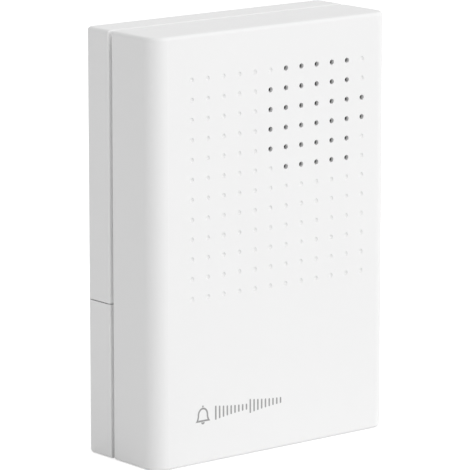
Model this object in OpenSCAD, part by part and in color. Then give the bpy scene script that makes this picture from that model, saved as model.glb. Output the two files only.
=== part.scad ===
// Doorbell chime box: a moulded case with a grille, a loudspeaker, a melody board and two cells.
// +X is right seen from the front, +Y goes into the wall, +Z is up.
// The origin is the centre of the face that lies on the wall.

/* [Case] */
// Width of the case
case_w = 85; // [84:0.5:110]
// Height of the case
case_h = 122; // [119:0.5:160]
// Depth of the case from the front face to the wall
case_d = 31.5; // [30.5:0.5:45]
// Depth of the front cover
front_d = 18.8; // [18:0.1:21]
// Width of the shadow groove behind the front cover
groove_w = 1.8; // [1.4:0.1:2.4]
// Thickness of the outer walls
wall = 2; // [1.6:0.1:2.4]
// Radius of the front cover's upright edges
front_edge_r = 4.7; // [3:0.1:7]
// Radius of the rear pieces' upright edges
rear_edge_r = 2.4; // [1.6:0.1:4]
// Rounding of the other outer edges
edge_r = 1; // [0.4:0.1:1.4]
// Bevel of the rear pieces' edge at the shadow groove
groove_bevel = 0.35; // [0.1:0.05:0.6]

/* [Rim] */
// Thickness of the rim inside the case walls
rim_t = 1.6; // [1.2:0.1:2]
// Clearance between the rim and the walls round it
rim_gap = 0.2; // [0.1:0.05:0.4]
// Reach of the rim into the front cover
tongue_l = 4; // [2:0.5:8]
// Reach of the rim into the battery door
spigot_l = 5; // [2:0.5:6]
// Depth of the thick band that joins the rim to the rear walls
lip_l = 3; // [1.5:0.5:5]

/* [Grille] */
// Distance between neighbouring dots
dot_pitch = 5.6; // [5:0.1:5.8]
// Dots along each side of the square grid
dot_count = 12; // [8:1:12]
// First column from the left side of the case
grid_left = 13.2; // [11:0.1:15]
// First row from the top of the case
grid_top = 12.6; // [11:0.2:16]
// Least distance of the last column from the right side of the case
grid_right = 9.5; // [8:0.5:14]
// Diameter of an open sound hole
hole_d = 1.5; // [1:0.1:2.4]
// Thickness of the face in front of the speaker
grille_t = 1.2; // [1:0.1:1.6]
// Diameter of a blind dimple
dimple_d = 1.4; // [1:0.1:2.4]
// Depth of a blind dimple
dimple_depth = 0.5; // [0.2:0.05:0.6]
// Holes nearer than this to the speaker's axis are open
open_r = 19.2; // [12:0.2:19.6]

/* [Battery door] */
// Height of the battery door
door_h = 44.6; // [43.6:0.2:48]
// Gap of the seam above the door
seam_gap = 0.3; // [0.2:0.05:0.6]
// Clearance between the door's front edge and the deck
door_gap = 0.3; // [0.2:0.05:0.5]
// Height of the snap bumps inside the door
bump_h = 0.12; // [0.05:0.01:0.15]
// Number of grip grooves in the door
grip_count = 6; // [3:1:9]
// Length of a grip groove
grip_l = 24; // [12:1:40]
// Depth of a grip groove
grip_depth = 0.6; // [0.3:0.1:0.9]

/* [Inner deck and battery bay] */
// Thickness of the deck behind the front cover
deck_t = 1.5; // [1.2:0.1:2]
// Thickness of the bay's walls
bay_wall = 1.5; // [1.2:0.1:2]
// Length between the end contacts' seats
bay_l = 58; // [50:0.2:59]
// Height of the bay's walls above the deck
bay_rise = 4; // [2:0.5:5.5]
// Diameter of a cell
cell_d = 14.5; // [13.5:0.1:14.6]
// Length of a contact spring under its cell
spring_l = 6.1; // [5.6:0.1:7]
// Free space round a cell
cell_gap = 0.6; // [0.3:0.1:0.8]

/* [Loudspeaker] */
// Speaker's axis from the right side of the case
speaker_right = 28.12; // [27.6:0.02:30]
// Speaker's axis from the top of the case
speaker_top = 26.6; // [26:0.1:30]
// Outer radius of the speaker
speaker_r = 20; // [19:0.1:20.4]
// Thickness of the foam ring in front of the speaker
gasket_t = 2; // [1.6:0.1:2.6]
// Depth of the basket
basket_h = 7.2; // [6.8:0.1:8]
// Thickness of the basket's sheet steel
basket_t = 0.8; // [0.5:0.1:1]
// Thickness of the ring magnet
magnet_t = 5; // [4:0.2:6]
// Radius of the ring magnet
magnet_r = 12; // [11:0.2:12.6]
// Radius of the pole
pole_r = 4.6; // [4.2:0.1:4.8]

/* [Board] */
// Width of the circuit board
board_w = 36; // [34:0.5:37]
// Height of the circuit board
board_h = 38; // [36:0.5:40]
// Thickness of the circuit board
board_t = 1.6; // [1:0.2:2]
// Height of the posts that carry the board
post_h = 7.5; // [6.5:0.5:9]
// Ways of the terminal block
ways = 4; // [2:1:4]
// Distance between the terminal block's ways
way_pitch = 5.08; // [5:0.01:5.08]

/* [Wall fixing] */
// Distance between the two keyholes
key_spacing = 60; // [56:0.5:62]
// Height of the keyholes' entries above the middle of the case
key_z = 34; // [32:0.5:36]
// Radius of a keyhole's entry
key_r = 4; // [3.5:0.1:4.4]
// Half width of a keyhole's slot
key_slot_r = 2.1; // [1.8:0.1:2.4]
// Height that a keyhole's slot rises
key_rise = 7; // [6:0.2:8]
// Width of the bell wire inlet
inlet_w = 14; // [8:0.5:18]
// Height of the bell wire inlet
inlet_h = 8; // [5:0.5:10]

/* [Fasteners] */
// Distance of the case screws from the sides of the case
screw_inset = 7.7; // [7.5:0.1:8.2]
// Radius of a case screw's head
screw_head_r = 2.8; // [2.4:0.1:3]
// Radius of a case screw's shank
screw_r = 1.15; // [0.9:0.05:1.3]
// Clearance round a screw in its pilot hole
pilot_gap = 0.05; // [0.03:0.01:0.1]

/* [Hidden] */
$fn = 48;

// A cut reaches this far past the face it opens, and joined shapes share this much
over = 0.5;

// Colours
white = "#f2f2f0";
steel = "#b9bcc0";
brass = "#c8a24a";
black = "#26262a";

// Planes across the depth of the case
y_front = -case_d;
y_face = y_front + wall;
y_split = y_front + front_d;
y_edge = y_split + groove_w;
y_deck = y_edge - door_gap;
y_deck_front = y_deck - deck_t;

// Planes across the height of the case
top_z = case_h / 2;
bottom_z = -case_h / 2;
seam_z = bottom_z + door_h;
ledge_z = seam_z + seam_gap / 2;
ledge_top = ledge_z + bay_wall;

// The rim that plugs into the front cover and into the battery door
rim_x = case_w / 2 - wall - rim_gap;
rim_z = case_h / 2 - wall - rim_gap;

// Places of the grid and of the speaker
function dot_x(col) = -case_w / 2 + grid_left + col * dot_pitch;
function dot_z(row) = top_z - grid_top - row * dot_pitch;
function on_face(col) = dot_x(col) <= case_w / 2 - grid_right;
speaker_x = case_w / 2 - speaker_right;
speaker_z = top_z - speaker_top;
function to_axis(col, row) = norm([dot_x(col) - speaker_x, dot_z(row) - speaker_z]);

// Loudspeaker sizes, with depth counted from the front face of its flange
y_grille = y_front + grille_t;
y_flange = y_grille + gasket_t;
seat_gap = 0.3;
seat_t = 1.5;
seat_drop = 0.5;
flange_w = 3.2;
flange_in = speaker_r - flange_w;
gasket_gap = 0.2;
gasket_step = 1;
coil_t = 0.3;
coil_gap = 0.25;
coil_in = pole_r + coil_gap;
coil_out = coil_in + coil_t;
coil_tail = 1.6;
plate_t = 2;
plate_step = 1;
roll_r = 1.25;
roll_inset = 1.1;
film_t = 0.3;
glue_w = 0.8;
roll_mid = flange_in - roll_inset;
cone_gap = 0.15;
cone_r = roll_mid - roll_r - cone_gap;
cone_h = 5;
cone_t = 0.4;
cone_lip = 0.1;
cone_fit = 0.05;
cap_r = coil_out + 0.6;
cap_rise = 1.8;
cap_lap = 0.3;
cap_clear = 0.15;
neck_gap = 0.7;
basket_lip = 0.3;
basket_bend = 0.7;
window_w = 6;
window_edge = 1;
magnet_gap = 1.2;
pole_drop = 0.2;
clamp_out = 2.6;
clamp_r = speaker_r + clamp_out;
clamp_boss_r = 2.2;
clamp_angles = [30, 150, 270];
washer_t = 0.5;
washer_r = 3.5;
washer_gap = 0.3;
clamp_screw_r = 0.95;
clamp_head_r = 2;
clamp_head_h = 1.4;
clamp_bite = 1;
tip_gap = 0.2;
tag_angle = 200;
tag_w = 9;
tag_l = 4;
tag_t = 0.8;
lug_w = 1.6;
lug_t = 0.4;
lug_out = 0.6;

// Case screws, their bosses and their seats
screw_x = case_w / 2 - screw_inset;
screw_top = 8;
screw_low = 9;
screw_top_z = top_z - screw_top;
screw_low_z = bottom_z + screw_low;
screw_spots = [for (sx = [-1, 1], z = [screw_top_z, screw_low_z]) [sx * screw_x, z]];
screw_head_h = 2;
screw_hold = 7.5;
screw_room = 1;
pad_h = 0.8;
pad_wall = 0.6;
y_pad = y_deck_front - pad_h;
boss_wall = 2;
boss_r = screw_r + boss_wall;
sink_gap = 0.35;
sink_r = screw_head_r + sink_gap;
sink_wall = 1.2;
pass_gap = 0.5;
pass_r = screw_r + pass_gap;

// Battery bay: the cells lie behind the door, or nearer the deck in a deeper case
cell_rise = 1.35;
cell_y = min(-wall - cell_gap - cell_d / 2, y_deck + cell_rise);
bay_h = 2 * cell_d + 3 * cell_gap;
bay_z = (seam_z + bottom_z + wall + rim_gap + rim_t) / 2;
bay_floor = cell_y - cell_d / 2 - cell_gap / 2;
upper_z = bay_z + (cell_d + cell_gap) / 2;
lower_z = bay_z - (cell_d + cell_gap) / 2;
contact_t = 0.4;
contact_pip = 0.6;
contact_pip_r = 1.8;
contact_w = 10;
contact_drop = 1;
button_l = 1.4;
button_r = 2.7;
cell_l = bay_l - 2 * contact_t - contact_pip - spring_l;
button_x = bay_l / 2 - contact_t - contact_pip;
spring_wire_r = 0.35;
spring_gap = 0.08;
spring_turns = 4;
spring_base_r = 4.4;
spring_tip_r = 2.4;
spring_sides = 6;
spring_rings = 8;
tab_w = 3;
tab_l = 3.4;
tab_rise = 2.4;
tab_y = bay_floor + tab_rise;
tab_gap = 0.15;

// Battery door's grip and snap bumps
grip_pitch = 2.4;
grip_w = 1.2;
grip_low = 8;
bump_r = 1.5;

// Circuit board on its posts
board_side = 1.5;
board_foot = 1.6;
board_x = -rim_x + rim_t + board_side + board_w / 2;
board_z = ledge_top + board_foot + board_h / 2;
y_board = -wall - post_h;
y_parts = y_board - board_t;
post_r = 2.6;
post_inset = 3;
board_screw_r = 0.95;
board_head_r = 2.2;
board_head_h = 1.5;
board_hole_gap = 0.4;
post_bite = 5;
leg_r = 0.3;
leg_pitch = 2.54;

// Parts on the board; their spots are measured from the board's middle
chip_spot = [-2, -4];
chip_l = 9.2;
chip_w = 6.4;
chip_h = 3.3;
chip_lift = 0.6;
chip_mark_r = 0.8;
chip_mark_h = 0.4;
chip_leg_w = 0.8;
chip_leg_t = 0.3;
chip_leg_gap = 0.05;
// Radius, height and spot of each standing capacitor
cans = [[3.2, 11, -12, 8], [3.2, 11, -3, 12], [4, 12, -11, -10]];
can_lip = 0.85;
can_score_w = 0.3;
can_score_h = 0.3;
disc_spots = [[4, 12], [-3, 4]];
disc_r = 2.4;
disc_t = 1.6;
disc_lift = 2;
axial_lift = 0.3;
axial_foot = 1;
axial_z = -13.4;
resistor_r = 1.1;
resistor_l = 5;
resistor_x = [0.8, 3.8, 6.8];
diode_r = 1.2;
diode_l = 4.6;
diode_x = -3.6;
regulator_spot = [4, 4];
driver_spot = [3.4, -3.4];
transistor_r = 2.4;
transistor_h = 4.8;
transistor_lift = 2.5;
transistor_flat = 1.3;

// Terminal block at the board's right edge
block_w = 8.2;
block_h = 10;
block_l = ways * way_pitch;
block_drop = 2;
block_x = board_x + board_w / 2 - block_w / 2;
block_z = board_z - block_drop;
way_screw_r = 1.9;
way_screw_drop = 0.6;
way_slot_w = 0.5;
way_slot_h = 0.8;
way_well = 4;
way_gap = 0.1;
cage_w = 3.8;
cage_l = 4.5;
cage_h = 3.9;
cage_t = 0.7;
cage_back = 2.1;

// Keyholes and inlet
key_depth = 4.5;
key_wall = 1.2;
key_room = 1;
key_side = key_r + key_room;
inlet_x = 14;
inlet_up = 11;
inlet_r = 2.4;
inlet_z = ledge_top + inlet_up;

// Leads: diameter and hand-chosen points, counted from what each lead runs along
lead_d = 1.2;
side_x = -rim_x + rim_t;
tab_end = [-bay_l / 2 - tab_l, tab_y, upper_z];
low_tab_end = [-bay_l / 2 - tab_l, tab_y, lower_z];
side_run = [side_x, y_deck_front, upper_z];
side_seam = [side_x, y_deck_front, ledge_top];
side_board = [side_x, y_parts, board_z];
tag_spot = [speaker_x, y_flange, speaker_z];
board_spot = [board_x, y_parts, board_z];
battery_red_route = [tab_end + [-0.6, 0, 0], tab_end + [-1.8, 0.2, 0.65], side_run + [3.5, -1.7, 4.25],
    side_run + [3.5, -1.7, 11.25], side_seam + [3.5, -1.5, 4.75], side_board + [3.3, -2.5, -9.85],
    side_board + [3.1, -1.5, -7.25], side_board + [3.1, -0.1, -6.85]];
battery_black_route = [low_tab_end + [-0.6, 0, 0], low_tab_end + [-2.2, -0.3, 0.65],
    low_tab_end + [-3.8, -1, 4.25], side_run + [2.3, -3.7, -3.75], side_run + [2.3, -3.7, 5.25],
    side_seam + [2.3, -3.7, 0.75], side_board + [2.4, -4.9, -9.85], side_board + [2.7, -3.9, -3.85],
    side_board + [2.9, -1.9, -1.85], side_board + [2.9, -0.1, -1.85]];
speaker_red_route = [tag_spot + [-21.18, 3, -4.6], tag_spot + [-22.68, 4, -4.6], tag_spot + [-24.68, 6.5, -6.6],
    board_spot + [8.2, -5.9, 18.15], board_spot + [7.2, -2.4, 15.15], board_spot + [7.2, -0.3, 14.15]];
speaker_black_route = [tag_spot + [-19.68, 3, -9.6], tag_spot + [-21.68, 4.5, -10.6],
    tag_spot + [-23.18, 7.5, -12.6], board_spot + [10.2, -4.9, 13.15], board_spot + [10.2, -1.9, 12.15],
    board_spot + [10.2, -0.3, 12.15]];

// A rectangle with round corners, centred
module soft_square(w, h, r) {
    square([w - 2 * r, h], center = true);
    square([w, h - 2 * r], center = true);
    for (sx = [-1, 1], sz = [-1, 1])
        translate([sx * (w / 2 - r), sz * (h / 2 - r)]) circle(r);
}

// A flat shape drawn in X and Z, raised from y0 to y1
module raise(y0, y1) {
    translate([0, y1, 0]) rotate([90, 0, 0]) linear_extrude(y1 - y0) children();
}

// A round bar along Y from y0 to y1
module rod(r, y0, y1) {
    translate([0, y0, 0]) rotate([-90, 0, 0]) cylinder(r = r, h = y1 - y0);
}

// A box between two corners
module span(a, b) {
    translate(a) cube(b - a);
}

// A moulded block with its outer face at y = 0 and its body behind it
// big rounds the face's upright edges, small all its other outer edges
module moulded_block(w, h, d, big, small) {
    raise(big, d) soft_square(w, h, small);
    translate([-(w / 2 - big), 0, 0]) rotate([90, 0, 90]) linear_extrude(w - 2 * big)
        face_profile(big + over, h, small);
    for (side = [-1, 1])
        translate([side * (w / 2 - big), big, 0])
            rotate([0, 0, side < 0 ? 180 : 270])
                rotate_extrude(angle = 90, $fn = 96) rim_profile(big, h, small);
}

// The upright section of the moulded face, round at its two front corners
module face_profile(d, h, r) {
    translate([r, -h / 2]) square([d - r, h]);
    translate([0, -h / 2 + r]) square([d, h - 2 * r]);
    for (s = [-1, 1]) translate([r, s * (h / 2 - r)]) circle(r);
}

// The upright section of a moulded corner, round at its outer ends
module rim_profile(d, h, r) {
    translate([0, -h / 2]) square([d - r, h]);
    translate([0, -h / 2 + r]) square([d, h - 2 * r]);
    for (s = [-1, 1]) translate([d - r, s * (h / 2 - r)]) intersection() {
        circle(r);
        translate([-d + r, -r]) square([d, 2 * r]);
    }
}

// The hollow inside a moulded block
module moulded_hollow(w, h, d, big) {
    translate([0, 0, -h / 2]) linear_extrude(h) {
        translate([-w / 2, big]) square([w, d - big]);
        translate([-w / 2 + big, 0]) square([w - 2 * big, d]);
        for (s = [-1, 1]) translate([s * (w / 2 - big), big]) circle(big);
    }
}

// The rim's outline, hollow
module rim_outline() {
    difference() {
        square([2 * rim_x, 2 * rim_z], center = true);
        square([2 * (rim_x - rim_t), 2 * (rim_z - rim_t)], center = true);
    }
}

// Everything above or below the seam
module above(z) {
    span([-case_w, -case_d - wall, z], [case_w, wall, case_h]);
}

module below(z) {
    span([-case_w, -case_d - wall, -case_h], [case_w, wall, z]);
}

// Moves a shape from the speaker's own axis to its place
module at_speaker() {
    translate([speaker_x, y_flange, speaker_z]) rotate([-90, 0, 0]) children();
}

module at_clamps() {
    for (a = clamp_angles)
        translate([speaker_x + clamp_r * cos(a), 0, speaker_z + clamp_r * sin(a)]) children();
}

module at_screws() {
    for (p = screw_spots) translate([p[0], 0, p[1]]) children();
}

module at_posts() {
    for (sx = [-1, 1], sz = [-1, 1])
        translate([board_x + sx * (board_w / 2 - post_inset), 0, board_z + sz * (board_h / 2 - post_inset)])
            children();
}

module at_keyholes() {
    for (s = [-1, 1]) translate([s * key_spacing / 2, 0, key_z]) children();
}

// A screw along Y: its head ends at y = 0 and its tip is at -l, with a cross slot
module screw(head_r, head_h, r, l) {
    difference() {
        rod(head_r, 0, head_h);
        for (a = [0, 90]) rotate([0, a, 0])
            span([-head_r * 0.6, head_h * 0.45, -head_r * 0.12], [head_r * 0.6, head_h + over, head_r * 0.12]);
    }
    rod(r, -l, over / 2);
}

// The 12 by 12 grid: open holes in front of the speaker, blind dimples elsewhere
module grid_holes() {
    for (col = [0 : dot_count - 1], row = [0 : dot_count - 1])
        if (on_face(col) && to_axis(col, row) < open_r)
            translate([dot_x(col), 0, dot_z(row)]) rod(hole_d / 2, y_front - over, y_face + over);
}

module grid_dimples() {
    ball_r = (dimple_d * dimple_d / 4 + dimple_depth * dimple_depth) / (2 * dimple_depth);
    for (col = [0 : dot_count - 1], row = [0 : dot_count - 1])
        if (on_face(col) && to_axis(col, row) >= open_r)
            translate([dot_x(col), y_front + dimple_depth - ball_r, dot_z(row)]) sphere(ball_r);
}

module front_cover() {
    inner_r = max(front_edge_r - wall, over);
    color(white) difference() {
        union() {
            difference() {
                translate([0, y_front, 0]) moulded_block(case_w, case_h, front_d, front_edge_r, edge_r);
                translate([0, y_face, 0])
                    moulded_hollow(case_w - 2 * wall, case_h - 2 * wall, front_d, inner_r);
            }
            translate([speaker_x, 0, speaker_z])
                rod(speaker_r + seat_gap + seat_t, y_face - over, y_flange + basket_t - seat_drop);
            at_clamps() rod(clamp_boss_r, y_face - over, y_flange + basket_t);
            at_screws() rod(boss_r, y_face - over, y_pad);
        }
        translate([speaker_x, 0, speaker_z]) rod(speaker_r + seat_gap, y_grille, y_flange + basket_t + over);
        grid_holes();
        grid_dimples();
        at_clamps() rod(clamp_screw_r + pilot_gap, y_face - clamp_bite - tip_gap, y_flange + basket_t + over);
        at_screws() rod(screw_r + pilot_gap, y_pad - screw_hold - screw_room, y_pad + over);
    }
}

// Wedges that bevel the four outer edges at the shadow groove
module groove_wedges(c) {
    far = c + over;
    for (s = [-1, 1]) {
        translate([-case_w, y_edge, s * case_h / 2]) rotate([90, 0, 90]) linear_extrude(2 * case_w)
            polygon([[far, s * over], [-over, s * over], [-over, -s * far]]);
        translate([s * case_w / 2, y_edge, -case_h]) linear_extrude(2 * case_h)
            polygon([[s * over, far], [s * over, -over], [-s * far, -over]]);
    }
}

// The rear pieces' common outer block, its face on the wall
module rear_block() {
    difference() {
        mirror([0, 1, 0]) moulded_block(case_w, case_h, -y_edge, rear_edge_r, edge_r);
        groove_wedges(groove_bevel);
    }
}

module keyhole_pocket(grow) {
    span([-key_side - grow, -wall - key_depth - grow, -key_side - grow],
        [key_side + grow, -wall, key_rise + key_slot_r + key_room + grow]);
}

module keyhole_cut() {
    rod(key_r, -wall - over, over);
    span([-key_slot_r, -wall - over, 0], [key_slot_r, over, key_rise]);
    translate([0, 0, key_rise]) rod(key_slot_r, -wall - over, over);
}

module bay_box(grow, y0, y1) {
    span([-bay_l / 2 - grow, y0, bay_z - bay_h / 2 - grow], [bay_l / 2 + grow, y1, bay_z + bay_h / 2 + grow]);
}

// Slot in the bay's left end for a contact's solder tab
module tab_slot(z) {
    span([-bay_l / 2 - bay_wall - over, tab_y - contact_t / 2 - tab_gap, z - tab_w / 2 - tab_gap],
        [-bay_l / 2 + over, tab_y + contact_t / 2 + tab_gap, z + tab_w / 2 + tab_gap]);
}

module rear_case() {
    color(white) difference() {
        union() {
            intersection() {
                difference() {
                    rear_block();
                    span([-case_w / 2 + wall, y_front, -case_h], [case_w / 2 - wall, -wall, top_z - wall]);
                }
                above(ledge_z);
            }
            intersection() {
                raise(y_edge, y_edge + lip_l) difference() {
                    square([case_w - wall, case_h - wall], center = true);
                    square([2 * (rim_x - rim_t), 2 * (rim_z - rim_t)], center = true);
                }
                above(ledge_z);
            }
            raise(y_split - tongue_l, y_edge + over) rim_outline();
            intersection() {
                raise(y_split - tongue_l, y_deck + spigot_l) rim_outline();
                below(ledge_top);
            }
            span([-rim_x + over, y_deck_front, -rim_z + over], [rim_x - over, y_deck, ledge_top]);
            span([-case_w / 2 + wall - over, y_deck_front, ledge_z],
                [case_w / 2 - wall + over, -wall + over, ledge_top]);
            bay_box(bay_wall, bay_floor - bay_wall, y_deck + bay_rise);
            for (p = screw_spots) translate([p[0], 0, p[1]])
                if (p[1] > seam_z) rod(sink_r + sink_wall, y_pad, -wall + over);
                else rod(boss_r + pad_wall, y_pad, y_deck_front + over);
            at_posts() rod(post_r, y_board, -wall + over);
            at_keyholes() keyhole_pocket(key_wall);
        }
        bay_box(0, bay_floor, over);
        tab_slot(upper_z);
        tab_slot(lower_z);
        at_screws() {
            rod(sink_r, y_deck, over);
            rod(pass_r, y_pad - over, y_deck + over);
        }
        at_posts() rod(board_screw_r + pilot_gap, y_board - over, y_board + post_bite + over);
        at_keyholes() {
            keyhole_pocket(0);
            keyhole_cut();
        }
        translate([inlet_x, 0, inlet_z]) raise(-wall - over, over) soft_square(inlet_w, inlet_h, inlet_r);
    }
}

module battery_door() {
    ball_r = (bump_r * bump_r + bump_h * bump_h) / (2 * bump_h);
    inner_x = case_w / 2 - wall;
    color(white) difference() {
        union() {
            intersection() {
                difference() {
                    rear_block();
                    span([-inner_x, y_front, bottom_z + wall], [inner_x, -wall, case_h]);
                }
                below(seam_z - seam_gap / 2);
            }
            for (s = [-1, 1]) intersection() {
                translate([s * (inner_x - bump_h + ball_r), y_deck + spigot_l / 2, bay_z]) sphere(ball_r);
                translate([s * inner_x, y_deck + spigot_l / 2, bay_z]) cube(2 * bump_r, center = true);
            }
        }
        for (i = [0 : grip_count - 1])
            translate([0, 0, bottom_z + grip_low + i * grip_pitch])
                span([-grip_l / 2, -grip_depth, -grip_w / 2], [grip_l / 2, over, grip_w / 2]);
    }
}

module case_screws() {
    color(steel) at_screws() translate([0, y_deck, 0])
        screw(screw_head_r, screw_head_h, screw_r, deck_t + pad_h + screw_hold);
}

module speaker_gasket() {
    color(black) at_speaker() translate([0, 0, -gasket_t]) difference() {
        cylinder(r = speaker_r - gasket_gap, h = gasket_t);
        translate([0, 0, -over]) cylinder(r = flange_in + gasket_step, h = gasket_t + 2 * over);
    }
}

module speaker_basket() {
    hole_r = coil_out + neck_gap;
    seat_r = magnet_r + basket_lip;
    windows = 4;
    window_h = basket_h - 2 * basket_t - 2 * window_edge;
    color(steel) at_speaker() difference() {
        rotate_extrude($fn = 96) polygon([[flange_in, 0], [speaker_r, 0], [speaker_r, basket_t],
            [flange_in + basket_bend, basket_t], [seat_r, basket_h], [hole_r, basket_h],
            [hole_r, basket_h - basket_t], [seat_r - basket_bend, basket_h - basket_t]]);
        for (i = [0 : windows - 1]) rotate([0, 0, 45 + i * 360 / windows])
            translate([seat_r + window_edge, -window_w / 2, basket_t + window_edge])
                cube([speaker_r, window_w, window_h]);
    }
}

module speaker_surround() {
    color(black) at_speaker() rotate_extrude($fn = 96) {
        translate([roll_mid, 0]) intersection() {
            difference() {
                circle(roll_r);
                circle(roll_r - film_t);
            }
            translate([-2 * roll_r, -2 * roll_r]) square([4 * roll_r, 2 * roll_r]);
        }
        translate([roll_mid + roll_r - film_t, -film_t]) square([film_t + glue_w, film_t]);
    }
}

module speaker_cone() {
    color("#3a3836") at_speaker() rotate_extrude($fn = 96)
        polygon([[coil_out + cone_fit, cone_h + cone_t], [coil_out + cone_fit, cone_h], [cone_r, cone_lip],
            [cone_r, cone_lip + cone_t]]);
}

module dust_cap() {
    ball_r = (cap_r * cap_r + cap_rise * cap_rise) / (2 * cap_rise);
    base = cone_h - cap_lap;
    color("#3a3836") at_speaker() intersection() {
        translate([0, 0, base - cap_rise + ball_r]) difference() {
            sphere(ball_r, $fn = 96);
            sphere(ball_r - film_t, $fn = 96);
        }
        translate([0, 0, base - 2 * cap_rise]) cylinder(r = 2 * cap_r, h = 2 * cap_rise - cap_clear);
    }
}

module voice_coil() {
    color("#b5703c") at_speaker() translate([0, 0, cone_h - cone_lip]) difference() {
        cylinder(r = coil_out, h = basket_h + plate_t + coil_tail - cone_lip - cone_h);
        translate([0, 0, -over]) cylinder(r = coil_in, h = 2 * basket_h);
    }
}

module speaker_top_plate() {
    color(steel) at_speaker() translate([0, 0, basket_h]) difference() {
        cylinder(r = magnet_r - plate_step, h = plate_t);
        translate([0, 0, -over]) cylinder(r = coil_out + coil_gap, h = plate_t + 2 * over);
    }
}

module speaker_magnet() {
    color("#4a4a4e") at_speaker() translate([0, 0, basket_h + plate_t]) difference() {
        cylinder(r = magnet_r, h = magnet_t);
        translate([0, 0, -over]) cylinder(r = coil_out + magnet_gap, h = magnet_t + 2 * over);
    }
}

module speaker_yoke() {
    base = basket_h + plate_t + magnet_t;
    color(steel) at_speaker() {
        translate([0, 0, base]) cylinder(r = magnet_r - plate_step, h = plate_t);
        translate([0, 0, basket_h + pole_drop]) cylinder(r = pole_r, h = base - basket_h);
    }
}

// Places the tag board's pieces on the flange, local X pointing out
module at_tag() {
    at_speaker() rotate([0, 0, -tag_angle]) translate([flange_in + gasket_step, 0, basket_t]) children();
}

module speaker_tag_board() {
    color("#8a5a2b") at_tag() translate([0, -tag_w / 2, 0]) cube([tag_l, tag_w, tag_t]);
}

module speaker_lugs() {
    color(brass) at_tag() for (s = [-1, 1]) translate([lug_out, s * tag_w / 4 - lug_w / 2, tag_t])
        cube([tag_l, lug_w, lug_t]);
}

module speaker_washers() {
    color(steel) at_clamps() difference() {
        rod(washer_r, y_flange + basket_t, y_flange + basket_t + washer_t);
        rod(clamp_screw_r + washer_gap, y_flange, y_flange + basket_t + washer_t + over);
    }
}

module speaker_screws() {
    y_head = y_flange + basket_t + washer_t;
    color(steel) at_clamps() translate([0, y_head, 0])
        screw(clamp_head_r, clamp_head_h, clamp_screw_r, y_head - y_face + clamp_bite - tip_gap);
}

module circuit_board() {
    color("#2f7d4a") difference() {
        span([board_x - board_w / 2, y_parts, board_z - board_h / 2],
            [board_x + board_w / 2, y_board, board_z + board_h / 2]);
        at_posts() rod(board_screw_r + board_hole_gap, y_parts - over, y_board + over);
    }
}

module board_screws() {
    color(steel) at_posts() translate([0, y_parts, 0]) mirror([0, 1, 0])
        screw(board_head_r, board_head_h, board_screw_r, board_t + post_bite);
}

// A spot on the board's front
module on_board(spot) {
    translate([board_x + spot[0], y_parts, board_z + spot[1]]) children();
}

module melody_chip() {
    face = -chip_h - chip_lift;
    color(black) on_board(chip_spot) difference() {
        span([-chip_w / 2, face, -chip_l / 2], [chip_w / 2, -chip_lift, chip_l / 2]);
        translate([0, 0, chip_l / 2]) rod(chip_mark_r, face - over, face + chip_mark_h);
    }
}

module chip_legs() {
    out = chip_w / 2 + chip_leg_gap + chip_leg_t / 2;
    color(steel) on_board(chip_spot) for (s = [-1, 1], i = [-1.5 : 1 : 1.5])
        translate([s * out, 0, i * leg_pitch])
            span([-chip_leg_t / 2, -chip_h / 2 - chip_lift, -chip_leg_w / 2],
                [chip_leg_t / 2, 0, chip_leg_w / 2]);
}

module electrolytic_capacitors() {
    color("#2b3a66") for (c = cans) on_board([c[2], c[3]]) difference() {
        rod(c[0], -c[1], 0);
        difference() {
            rod(c[0] * can_lip, -c[1] - over, -c[1] + can_score_h);
            for (a = [0, 60, 120]) rotate([0, a, 0])
                span([-c[0], -c[1] - over, -can_score_w / 2], [c[0], -c[1] + can_score_h, can_score_w / 2]);
        }
    }
}

module ceramic_capacitors() {
    color("#c7763a") for (p = disc_spots) on_board(p) {
        translate([0, -disc_r - disc_lift, 0]) rotate([0, 90, 0]) translate([0, 0, -disc_t / 2])
            cylinder(r = disc_r, h = disc_t);
        for (s = [-1, 1]) translate([0, 0, s * leg_pitch / 2]) rod(leg_r, -disc_lift - over, 0);
    }
}

// A part that lies on the board with a bent leg at each end
module axial_part(r, l) {
    rise = r + axial_lift;
    translate([0, -rise, -l / 2]) cylinder(r = r, h = l);
    for (s = [-1, 1]) translate([0, 0, s * (l / 2 + axial_foot)]) {
        rod(leg_r, -rise - leg_r, 0);
        translate([0, -rise, -s * axial_foot / 2]) cylinder(r = leg_r, h = axial_foot + leg_r, center = true);
    }
}

module resistors() {
    color("#c9b48a") for (x = resistor_x) on_board([x, axial_z]) axial_part(resistor_r, resistor_l);
}

module diode() {
    color(black) on_board([diode_x, axial_z]) axial_part(diode_r, diode_l);
}

// A small transistor case: a round body with a flat side, on three legs
module transistor() {
    face = -transistor_lift - transistor_h;
    past = transistor_r + over;
    difference() {
        rod(transistor_r, face, -transistor_lift);
        span([-past, face - over, -past], [-transistor_flat, -transistor_lift + over, past]);
    }
    for (i = [-1, 0, 1]) translate([0, 0, i * leg_pitch / 2]) rod(leg_r, -transistor_lift - over, 0);
}

module voltage_regulator() {
    color(black) on_board(regulator_spot) transistor();
}

module driver_transistor() {
    color(black) on_board(driver_spot) transistor();
}

// Places one way of the terminal block at its middle on the board's face
module at_ways() {
    for (i = [0 : ways - 1])
        translate([block_x, y_parts, block_z - block_l / 2 + way_pitch * (i + 0.5)]) children();
}

module terminal_block() {
    well = -block_h + way_well;
    color("#3b8f5c") difference() {
        span([block_x - block_w / 2, y_parts - block_h, block_z - block_l / 2],
            [block_x + block_w / 2, y_parts, block_z + block_l / 2]);
        at_ways() {
            rod(way_screw_r + 2 * way_gap, -block_h - over, well + over);
            span([-cage_back - way_gap, well, -cage_w / 2 - way_gap],
                [block_w, well + cage_h + way_gap, cage_w / 2 + way_gap]);
        }
    }
}

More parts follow.
